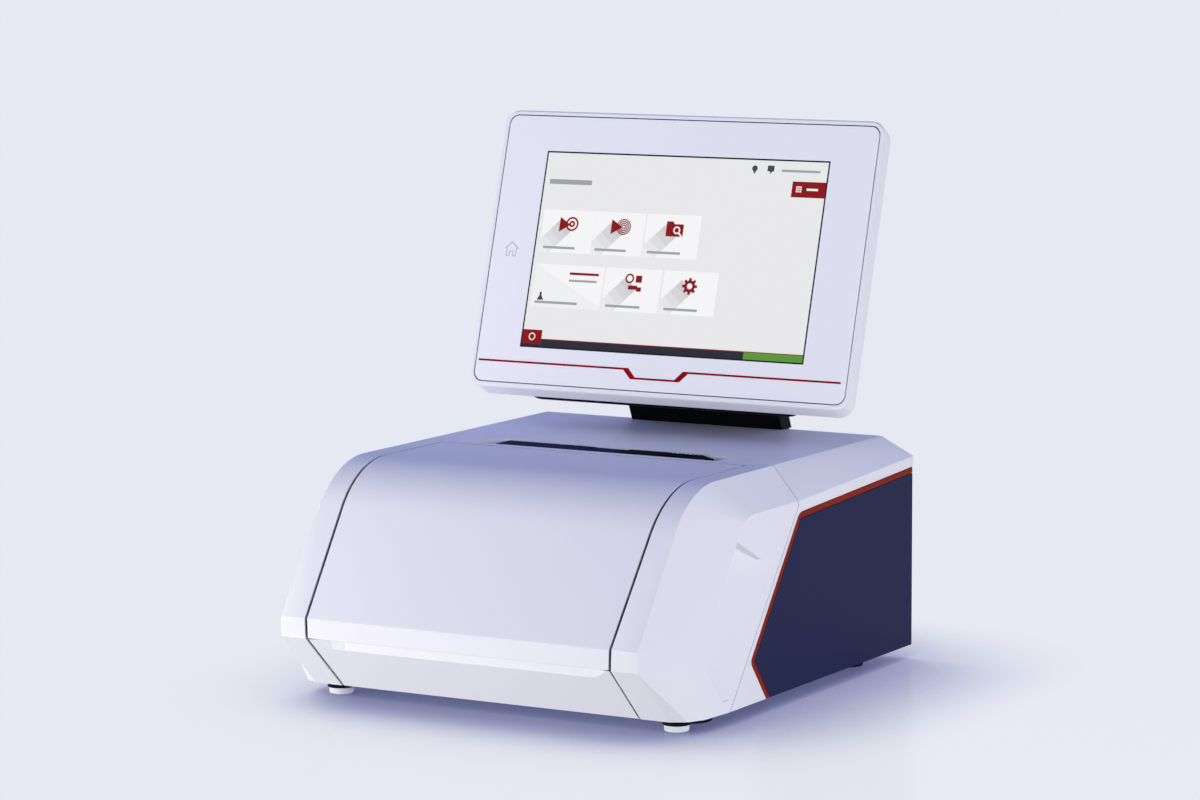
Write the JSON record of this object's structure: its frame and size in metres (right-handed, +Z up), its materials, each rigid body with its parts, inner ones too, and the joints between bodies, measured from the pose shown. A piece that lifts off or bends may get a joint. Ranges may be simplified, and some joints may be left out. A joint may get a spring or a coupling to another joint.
{
  "type": "infrared spectrometer",
  "caption": "Benchtop infrared spectrometer with a lift-up sample lid, a sample chamber, an optical bench inside and a tilting touch display on a neck.",
  "frame": {"origin": "on the table, under the middle of the housing", "axes": "+Z up, +Y to the rear of the instrument, +X to the right as seen from the front"},
  "size_m": [0.3, 0.348, 0.3673],
  "materials": {
    "housing": "fine-grained satin",
    "panel": "satin",
    "accent": "satin",
    "black": "satin",
    "rubber": "matt",
    "pad": "matt",
    "liner": "satin",
    "chamber": "matt black",
    "metal": "milled",
    "steel": "brushed",
    "mirror": "gold coated",
    "crystal": "polished",
    "board": "solder mask",
    "glass": "polished, printed border",
    "screen": "polished"
  },
  "bodies": {
    "housing": {"front_frame": "housing", "rear_cover": "housing", "lower_front_panel": "housing", "side_panel_right": "panel", "side_panel_left": "panel", "slot_cover": "panel", "accent_strip_right": "accent", "accent_strip_left": "accent", "hose_guide": "black", "power_inlet": "black", "switch_frame": "black", "neck_bracket": "black", "foot_collar_right": "rubber", "foot_collar_left": "rubber", "rear_foot_right": "rubber", "rear_foot_left": "rubber", "bumper_right": "rubber", "bumper_left": "rubber", "front_foot_right": "pad", "front_foot_left": "pad", "rear_panel": "liner", "compartment_liner": "liner", "desiccant_cartridge": "liner", "sample_chamber": "chamber", "mirror_drive": "chamber", "base_plate": "metal", "lid_hinge_bracket_right": "metal", "lid_hinge_bracket_left": "metal", "window_ring_right": "metal", "window_ring_left": "metal", "cell_holder": "metal", "optical_bench": "metal", "ir_source": "metal", "power_supply": "metal", "lid_hinge_pin_right": "steel", "lid_hinge_pin_left": "steel", "detector": "steel", "reference_laser": "steel", "socket_block": "steel", "tilt_pin": "steel", "focusing_mirror": "mirror", "collecting_mirror": "mirror", "collimating_mirror": "mirror", "fixed_mirror": "mirror", "ir_window_right": "crystal", "ir_window_left": "crystal", "beam_splitter": "crystal", "main_board": "board"},
    "lid": {"sample_lid": "housing", "lid_liner": "liner", "lid_seal": "rubber", "lid_hinge_arm_right": "metal", "lid_hinge_arm_left": "metal"},
    "display": {"display_shell": "housing", "display_glass": "glass", "display_screen": "screen", "display_back": "black", "display_hinge": "steel"},
    "power_rocker": {"power_rocker": "black"},
    "scan_mirror": {"moving_mirror": "mirror"}
  },
  "joints": [
    {"name": "lid_hinge", "type": "hinge", "parent": "housing", "child": "lid", "pos_m": [0, -0.013, 0.146], "axis": [-1, 0, 0], "range_deg": [0, 90]},
    {"name": "display_tilt", "type": "hinge", "parent": "housing", "child": "display", "pos_m": [0, 0.13676, 0.2125], "axis": [-1, 0, 0], "range_deg": [-10, 25]},
    {"name": "power_rocker", "type": "hinge", "parent": "housing", "child": "power_rocker", "pos_m": [0.066, 0.1675, 0.0435], "axis": [1, 0, 0], "range_deg": [0, 12]},
    {"name": "mirror_scan", "type": "slide", "parent": "housing", "child": "scan_mirror", "axis": [0, 1, 0], "range_m": [-0.005, 0.005]}
  ]
}
